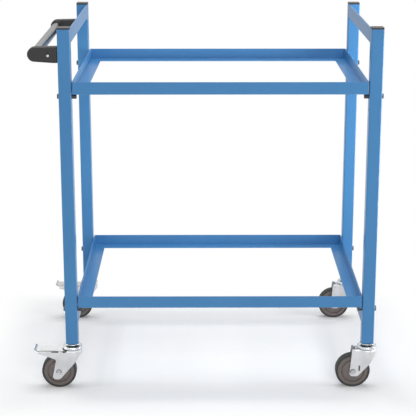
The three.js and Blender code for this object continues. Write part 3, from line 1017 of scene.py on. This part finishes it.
def sheet_inset(along, height, crown_from, blend, narrow_from):
    """How far the sheet stands in from the fork's widest outline, at a place and a height: it
    bends over into the crown, softly so behind it, and is drawn in to the axle."""
    drawn_down = eased((height - leg_waist) / (skirt_bottom - leg_waist))
    drawn_back = eased((along - narrow_from) / narrow_blend)
    inset = (fork_half_width - leg_half_width) * (1 - drawn_down * drawn_back)
    rise = min(max(height - crown_top + crown_bend_radius, 0), crown_bend_radius)
    bent = crown_bend_radius - math.sqrt(crown_bend_radius**2 - rise**2)
    return inset + bent * eased((along - crown_from + blend) / blend)


def wrap_round_nose(along, height, inset):
    """Where a place on the flat sheet comes to lie: on a straight cheek, or round the nose."""
    turn = math.radians(90 * max(along, 0) / nose_length)
    x = min(along, 0) + (crown_nose_reach - inset) * math.sin(turn)
    return Vector((x, (fork_half_width - inset) * math.cos(turn), height))


def cuts_across_sheet(crown_from, blend, narrow_from):
    """Where the flat sheet is cut, so that it can bend: at heights, and at places along it."""
    steps = [i / bend_steps for i in range(bend_steps)]
    heights = [leg_waist + (skirt_bottom - leg_waist) * share for share in [*steps, 1]]
    heights += [crown_top - crown_bend_radius * (1 - math.sin(math.pi / 2 * share)) for share in steps]
    places = [nose_length * i / nose_steps for i in range(nose_steps)]
    places += [crown_from - blend * share for share in [*steps, 1]]
    places += [narrow_from + narrow_blend * share for share in steps]
    return heights, places


def pressed_fork(outline, crown_from, blend, narrow_from):
    """Sheet pressed into a fork: half of it is cut flat, wrapped round the nose, bent over into
    the crown and drawn in to the axle, then mirrored and given its thickness."""
    fork = ring_of_points([Vector((x, 0, z)) for x, z in outline], filled=True)
    edit(fork)
    heights, places = cuts_across_sheet(crown_from, blend, narrow_from)
    cuts = [((0, 0, height), (0, 0, 1)) for height in heights]
    cuts += [((place, 0, 0), (1, 0, 0)) for place in places]
    for place, normal in cuts:
        bpy.ops.mesh.select_all(action="SELECT")
        bpy.ops.mesh.bisect(plane_co=place, plane_no=normal)
    stop_editing()
    for vertex in fork.data.vertices:
        along, height = vertex.co.x, vertex.co.z
        inset = sheet_inset(along, height, crown_from, blend, narrow_from)
        vertex.co = wrap_round_nose(along, height, inset)
    edit(fork)
    pick(fork, "EDGE", lambda ends: all(
        abs(p.z - crown_top) < hair and p.x > crown_from - hair for p in ends
    ))
    bpy.ops.mesh.extrude_edges_move()
    bpy.ops.transform.resize(value=(1, 0, 1), center_override=(0, 0, 0))
    stop_editing()
    tidy(fork)
    apply_modifier(fork, "MIRROR", use_axis=(False, True, False), merge_threshold=10 * hair)
    widest = max(fork.data.polygons, key=lambda face: face.area)
    if widest.normal.y * widest.center.y < 0:
        edit(fork)
        bpy.ops.mesh.flip_normals()
        stop_editing()
    apply_modifier(fork, "SOLIDIFY", thickness=fork_sheet, offset=-1, use_even_offset=True)
    break_edges(fork, press_edge_break)
    seat = crown_top - fork_sheet / 2
    edge = boss_edge_radius
    join(fork, turned([
        (0, seat), (boss_radius, seat),
        *arc((boss_radius - edge, boss_top - edge), edge, 0, 90, lip_steps), (0, boss_top),
    ]))
    cut(fork, rod(kingpin_hole_radius, (0, 0, rivet_top), (0, 0, ring_bottom)))
    across = rearwards * (fork_half_width + overrun)
    cut(fork, rod(axle_radius + fit, wheel_middle - across, wheel_middle + across))
    return fork


def plain_fork():
    fork = pressed_fork(plain_cheek(), -plain_crown_reach, ear_blend, narrow_behind)
    slot_x = -caster_trail + fork_slot_from_axle
    half = fork_slot_width / 2
    cut(fork, block(
        (slot_x - half, -fork_half_width, fork_slot_low), (slot_x + half, 0, fork_slot_high),
    ))
    return smooth(fork)


def braked_fork():
    crown_from = -wing_front_reach + wing_blend
    fork = pressed_fork(braked_cheek(), crown_from, wing_blend, -wing_reach - narrow_blend)
    across = rearwards * (fork_half_width - fork_sheet + pin_socket_depth)
    cut(fork, rod(pedal_pin_radius + fit, pedal_pivot - across, pedal_pivot + across))
    return smooth(fork)


def caster_axle():
    """An axle bolt with a round dimpled head in front, a spacer, and a nut behind."""
    outside = leg_half_width + fit
    top = outside + axle_head_height
    edge = turned_edge_radius
    bump = top - axle_dish_depth / 2
    head = turned([
        (0, outside), (axle_head_radius, outside),
        *arc((axle_head_radius - edge, top - edge), edge, 0, 90, edge_steps),
        (axle_dish_radius, top), (axle_dish_radius / 2, top - axle_dish_depth),
        (axle_dish_radius / 4, bump), (0, bump),
    ], wheel_middle, frontwards)
    shank_start = wheel_middle + frontwards * (outside + overrun / 2)
    join(head, rod(axle_radius, shank_start, wheel_middle + rearwards * (top + axle_end_past_nut)))
    spacer = rearwards * hub_half_length
    join(head, rod(sleeve_radius, wheel_middle - spacer, wheel_middle + spacer, turned_steps))
    nut, corner = hexagonal(outside, top)
    wide = corner + overrun
    barrel = turned_along_x([
        (0, outside - overrun), (wide, outside - overrun), (corner + hex_chamfer, top - hex_chamfer),
        (corner - hex_chamfer, top), (0, top),
    ])
    combine(nut, barrel, "INTERSECT")
    nut.rotation_euler.z = math.pi / 2
    nut.location = wheel_middle
    join(head, keep_place(nut))
    return smooth(head, angle=28)


def axle_shade_ring():
    """A black ring that the axle's head sits in, put in as painted shade for the dark ring round the head."""
    inner = axle_head_radius + fit
    outer = axle_shade_ring_radius
    top = axle_shade_ring_height
    edge = axle_shade_ring_edge
    dark_axle_ring = turned(
        [
            (inner, 0), (outer, 0),
            *arc((outer - edge, top - edge), edge, 0, 90, small_steps), (inner, top),
        ],
        wheel_middle + frontwards * leg_half_width, frontwards,
    )
    return smooth(dark_axle_ring)


def wheel_disc():
    """The wheel's moulded centre: a hub standing proud, and a ring groove in each face."""
    face = wheel_width / 2 - wheel_face_recess
    outer = wheel_radius - tyre_depth - fit
    edge = face_edge_radius
    root = hub_root_radius
    inside = face_groove_radius - face_groove_width / 2
    outside = face_groove_radius + face_groove_width / 2
    floor = face - face_groove_depth
    one_face = [
        (sleeve_radius + fit, hub_half_length),
        *arc((hub_radius - edge, hub_half_length - edge), edge, 90, 0, small_steps),
        *arc((hub_radius + root, face + root), root, 180, 270, edge_steps),
        *arc((inside - edge, face - edge), edge, 90, 0, small_steps),
        (inside, floor), (outside, floor),
        *arc((outside + edge, face - edge), edge, 180, 90, small_steps),
        *arc((outer - edge, face - edge), edge, 90, 0, small_steps),
    ]
    other_face = [(radius, -height) for radius, height in reversed(one_face)]
    disc = turned([*one_face, *other_face], wheel_middle, rearwards, wheel_steps)
    return smooth(disc, angle=30)


def wheel_tyre():
    """The tyre: a flat tread with full round shoulders, gripping the wheel's rim."""
    lip = tyre_lip_radius
    lip_middle = wheel_radius - tyre_depth + lip
    shoulder = tyre_shoulder_radius
    shoulder_middle = wheel_radius - shoulder
    half = wheel_width / 2
    tyre = turned([
        *arc((lip_middle, -half + lip), lip, 180, 270, small_steps),
        *arc((shoulder_middle, -half + shoulder), shoulder, -90, 0, shoulder_steps),
        *arc((shoulder_middle, half - shoulder), shoulder, 0, 90, shoulder_steps),
        *arc((lip_middle, half - lip), lip, 90, 180, small_steps),
    ], wheel_middle, rearwards, wheel_steps)
    return smooth(tyre)


def pedal_plate():
    """The pedal's sheet, notched round the swivel's ring, its tip turned up."""
    half = pedal_half_width
    reach = math.degrees(math.asin(half / pedal_notch_radius))
    outline = [
        (-pedal_end, half), (-pedal_end, -half),
        *arc((0, 0), pedal_notch_radius, 180 + reach, 180 - reach, notch_steps),
    ]
    pedal = ring_of_points([Vector((x, y, pedal_top)) for x, y in outline], filled=True)
    edit(pedal)
    pick(pedal, "EDGE", lambda ends: all(abs(p.x + pedal_end) < hair for p in ends))
    bpy.ops.mesh.extrude_region_move(
        TRANSFORM_OT_translate={"value": (pedal_end - pedal_tip_reach, 0, pedal_tip_rise)},
    )
    bpy.ops.transform.resize(value=(1, (half - pedal_tip_inset) / half, 1))
    bpy.ops.mesh.select_all(action="SELECT")
    bpy.ops.mesh.normals_make_consistent(inside=False)
    stop_editing()
    if pedal.data.polygons[0].normal.z < 0:
        edit(pedal)
        bpy.ops.mesh.flip_normals()
        stop_editing()
    apply_modifier(pedal, "SOLIDIFY", thickness=pedal_sheet, offset=-1, use_even_offset=True)
    break_edges(pedal, pedal_edge_break, angle=60)
    return pedal


def pedal_panel():
    """The bare raised panel on the pedal."""
    outer_end = -pedal_end + pedal_panel_from_end
    inner_end = -pedal_panel_inner_end
    side = pedal_half_width - pedal_panel_from_side
    outline = rounded([
        (x, y, pedal_panel_corner)
        for x, y in ((outer_end, side), (outer_end, -side), (inner_end, -side), (inner_end, side))
    ], edge_steps)
    panel = plate(
        [Vector((x, y, pedal_top - pedal_sheet / 2)) for x, y in outline],
        (0, 0, pedal_sheet / 2 + pedal_panel_height),
    )
    break_edges(panel, pedal_panel_break)
    return panel


def brake_shoe():
    """A block under the pedal, hollowed to the tyre that it meets when the pedal is down."""
    shoe = block(
        (-shoe_front_reach - shoe_length, -shoe_half_width, 2 * wheel_radius - overrun),
        (-shoe_front_reach, shoe_half_width, pedal_top - pedal_sheet / 2),
    )
    from_pivot = wheel_middle - pedal_pivot
    turned_back = Matrix.Rotation(pedal_travel, 3, "Y") @ from_pivot
    middle = pedal_pivot + turned_back
    wide = rearwards * (shoe_half_width + overrun)
    cut(shoe, rod(wheel_radius + 2 * fit, middle - wide, middle + wide, 2 * wheel_steps))
    return shoe


def mark_painted_edge_shade(piece, above):
    """Marks the upright faces above a height, which take the dark grey painted shade of the pedal's edges."""
    marks = piece.data.attributes.new(edge_shade_mark, "FLOAT", "FACE")
    for face in piece.data.polygons:
        steep = abs(face.normal.z) < math.sin(edge_shade_lean)
        marks.data[face.index].value = float(steep and face.center.z > above)


def brake_pedal():
    """A pressed pedal between the fork's wings: a plate with a bare raised panel, a tip that
    turns up, two ears with their pins, and a shoe above the tyre."""
    pedal = pedal_plate()
    join(pedal, pedal_panel())
    inner = pedal_half_width - pedal_sheet
    pin_end = fork_half_width - fork_sheet + pin_socket_depth - fit
    half_ear = pedal_ear_length / 2
    for sign in (-1, 1):
        near, far = sorted((sign * inner, sign * pedal_half_width))
        ear = block(
            (pedal_pivot.x - half_ear, near, pedal_pivot.z - pedal_ear_drop),
            (pedal_pivot.x + half_ear, far, pedal_top - pedal_sheet / 2),
        )
        out = rearwards * sign
        pin = rod(pedal_pin_radius, pedal_pivot + out * inner, pedal_pivot + out * pin_end)
        for piece in (ear, pin):
            break_edges(piece, pedal_ear_break)
            join(pedal, piece)
    join(pedal, brake_shoe())
    smooth(pedal)
    # Its upright edge faces are marked for the dark grey painted shade
    mark_painted_edge_shade(pedal, pedal_top - pedal_sheet)
    return pedal


# Assembly


def assemble_frame():
    bolt = tray_bolt()
    nut = tray_nut()
    for end, inward in (("left", 1), ("right", -1)):
        for level in ("top", "low"):
            node = f"cross_rail_{level}_{end}"
            dress(flat_bar(node), f"flat_bar_{level}_{end}", node)
        for side in ("front", "rear"):
            place = f"{side}_{end}"
            node = f"post_{place}"
            dress(post_tube(node, inward), f"tube_{place}", node)
            node = f"post_cap_{place}"
            dress(post_cap(node), f"tube_insert_{place}", node, black_polyethylene)
            post_low, post_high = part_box(f"post_{place}")
            middle = (post_low + post_high) / 2
            for tray in trays:
                low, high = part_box(f"tray_bolt_{tray}_{place}")
                shift = Vector((middle.x, middle.y, (low.z + high.z) / 2))
                # The bolts and nuts take zinc painted dark grey as shade
                for model, name in ((bolt, "bolt"), (nut, "nut")):
                    dress(
                        copy_of(model, shift, (-inward, 1, 1)), f"{name}_{tray}_{place}",
                        f"tray_{name}_{tray}_{place}", zinc_painted_dark_as_shade,
                    )
    for tray in trays:
        node = f"tray_frame_{tray}"
        dress(tray_frame(node), f"angle_frame_{tray}", node)
    remove(bolt, nut)


def assemble_handle():
    arm, place = handle_arm("handle_arm_front")
    screw = arm_screw(place)
    for side, mirror in (("front", (1, 1, 1)), ("rear", (1, -1, 1))):
        dress(copy_of(arm, origin, mirror), f"moulded_arm_{side}", f"handle_arm_{side}")
        dress_extra(
            copy_of(screw, origin, mirror), f"arm_screw_{side}", "frame",
            zinc_plated_fastener,
        )
    remove(arm, screw)
    dress(grip_tube("handle_grip"), "grip_tube", "handle_grip")


def assemble_casters():
    models = {
        "caster_head": ("swivel_head", caster_head()),
        "caster_axle": ("axle_bolt", caster_axle()),
        "wheel_centre": ("wheel_disc", wheel_disc()),
        "wheel_tyre": ("tyre", wheel_tyre()),
    }
    forks = {"left": braked_fork(), "right": plain_fork()}
    shade_ring = neck_shade_ring()
    dark_axle_ring = axle_shade_ring()
    pedal = brake_pedal()
    swivels = {
        joint["name"].removeprefix("swivel_"): joint["pos_m"]
        for joint in frame["joints"] if joint["name"].startswith("swivel_")
    }
    for place, (x, y, _) in swivels.items():
        shift = Vector((x, y, 0))
        for part, (name, model) in models.items():
            dress(copy_of(model, shift), f"{name}_{place}", f"{part}_{place}")
        fork_body = body_of_node[f"caster_fork_{place}"]
        # The black rings round the necks and round the axle heads are painted shade
        for model, name, body in ((shade_ring, "neck_shade_ring", "frame"), (dark_axle_ring, "axle_shade_ring", fork_body)):
            dress_extra(copy_of(model, shift), f"{name}_{place}", body, black_polyethylene)
        end = place.split("_")[1]
        dress(copy_of(forks[end], shift), f"pressed_fork_{place}", f"caster_fork_{place}")
        if end == "left":
            dress(copy_of(pedal, shift), f"pedal_{place}", f"brake_pedal_{place}", rumbled_zinc_plate)
    remove(*(model for name, model in models.values()), *forks.values(), pedal, shade_ring, dark_axle_ring)


# Floor, world and lamps

world_light = 0.22
floor_size = 60
floor_colour = 0xF8F8F8
floor_roughness = 0.9
floor_glow = 0.115

# The floor fades to white between these two distances from its middle, in which each
# direction counts with its share
fade_start = 0.41
fade_end = 0.54
fade_across = (0.76, 1, 0)

# Cards: place, turn in degrees, width and height, and brightness
cards = {
    "left_card": ((-1.5, -2, 0.9), -33, (0.3, 1.8), 0.01),
    "right_card": ((1.4, -1.2, 0.9), 63, (0.3, 1.8), 0.01),
    "backdrop_card": ((0, 5, 0.95), 0, (8, 1.9), 0.62),
}

# Softboxes: place, what they are aimed at, size, power in watts, and fan of light in degrees
softboxes = {
    "top_softbox": ((0, 0.7, 6), (0, 0, 0), (4.4, 3), 200, 180),
    "front_softbox": ((0.8, -4.6, 2.4), (0, 0, 0.6), (2.4, 1.6), 81, 180),
    "right_softbox": ((1.7, -0.35, 0.5), (0.85, 0.01, 1.7), (0.5, 0.9), 31, 160),
    "left_softbox": ((-1.7, -0.35, 0.95), (-0.1, 0.29, 1.9), (0.5, 1.2), 6, 180),
}


def seen_directly(owner):
    """One where the camera, a reflection or a clear piece looks, and zero for diffuse light."""
    path = add_node(owner, "ShaderNodeLightPath", {})
    either = add_node(
        owner, "ShaderNodeMath",
        {0: path.outputs["Is Camera Ray"], 1: path.outputs["Is Glossy Ray"]}, operation="MAXIMUM",
    )
    return add_node(
        owner, "ShaderNodeMath", {0: either.outputs[0], 1: path.outputs["Is Transmission Ray"]},
        operation="MAXIMUM",
    ).outputs[0]


def floor_fade(material):
    """How far the floor has turned to white, from 0 near the trolley to 1 further off."""
    place = add_node(material, "ShaderNodeTexCoord", {})
    away = add_node(
        material, "ShaderNodeVectorMath", {0: place.outputs["Object"]}, operation="ABSOLUTE",
    )
    scaled = add_node(
        material, "ShaderNodeVectorMath", {0: away.outputs["Vector"], 1: fade_across},
        operation="MULTIPLY",
    )
    parts = add_node(material, "ShaderNodeSeparateXYZ", {0: scaled.outputs["Vector"]})
    farther = add_node(
        material, "ShaderNodeMath", {0: parts.outputs["X"], 1: parts.outputs["Y"]},
        operation="MAXIMUM",
    )
    return add_node(
        material, "ShaderNodeMapRange",
        {"Value": farther.outputs[0], "From Min": fade_start, "From Max": fade_end},
        interpolation_type="SMOOTHSTEP",
    ).outputs["Result"]


def set_up_floor():
    """A pale floor that keeps the trolley's shadow near it and fades to white further off, so
    that no edge or horizon shows."""
    bpy.ops.mesh.primitive_plane_add(size=floor_size)
    floor = bpy.context.object
    floor.name = "floor"
    material, shader = new_material(
        "pale_floor", Base_Color=linear(floor_colour), Roughness=floor_roughness,
        Specular_IOR_Level=0, Emission_Color=white,
    )
    seen = seen_directly(material)
    add_node(
        material, "ShaderNodeMath", {0: seen, 1: floor_glow},
        (0, shader.inputs["Emission Strength"]), operation="MULTIPLY",
    )
    share = add_node(
        material, "ShaderNodeMath", {0: floor_fade(material), 1: seen}, operation="MULTIPLY",
    )
    plain_white = add_node(material, "ShaderNodeEmission", {"Color": white, "Strength": 1})
    add_node(
        material, "ShaderNodeMixShader",
        {0: share.outputs[0], 1: shader.outputs["BSDF"], 2: plain_white.outputs["Emission"]},
        ("Shader", material.node_tree.nodes["Material Output"].inputs["Surface"]),
    )
    floor.data.materials.append(material)


def set_up_world():
    """White wherever the camera or a reflection looks, and a plainer level as light."""
    world = bpy.data.worlds.new("studio")
    world.use_nodes = True
    bpy.context.scene.world = world
    background = world.node_tree.nodes["Background"]
    background.inputs["Color"].default_value = white
    add_node(
        world, "ShaderNodeMapRange",
        {"Value": seen_directly(world), "To Min": world_light, "To Max": 1},
        ("Result", background.inputs["Strength"]),
    )


def add_card(name, place, turn, size, level):
    """An upright card of an even brightness, seen only in reflections: dark ones give bright
    metal its dark lines, and the grey one stands for the far end of the backdrop."""
    bpy.ops.mesh.primitive_plane_add(
        size=1, location=place, rotation=(math.pi / 2, 0, math.radians(turn)),
    )
    card = bpy.context.object
    card.name = name
    card.scale = (*size, 1)
    material, _ = new_material(
        name, Base_Color=black, Roughness=1, Specular_IOR_Level=0, Emission_Color=white,
        Emission_Strength=level,
    )
    card.data.materials.append(material)
    card.visible_camera = False
    card.visible_diffuse = False
    card.visible_shadow = False


def add_softbox(name, place, target, size, power, fan):
    """A soft lamp aimed at a target. A grid on it makes its fan of light narrower."""
    bpy.ops.object.light_add(type="AREA", location=place)
    lamp = bpy.context.object
    lamp.name = name
    lamp.data.shape = "RECTANGLE"
    lamp.data.size, lamp.data.size_y = size
    lamp.data.energy = power
    lamp.data.spread = math.radians(fan)
    aim = Vector(target) - Vector(place)
    lamp.rotation_euler = aim.to_track_quat("-Z", "Y").to_euler()


set_up_camera()
set_up_floor()
set_up_world()
for name, settings in cards.items():
    add_card(name, *settings)
for name, settings in softboxes.items():
    add_softbox(name, *settings)
assemble_frame()
assemble_handle()
assemble_casters()

bpy.context.scene.view_settings.view_transform = "Standard"
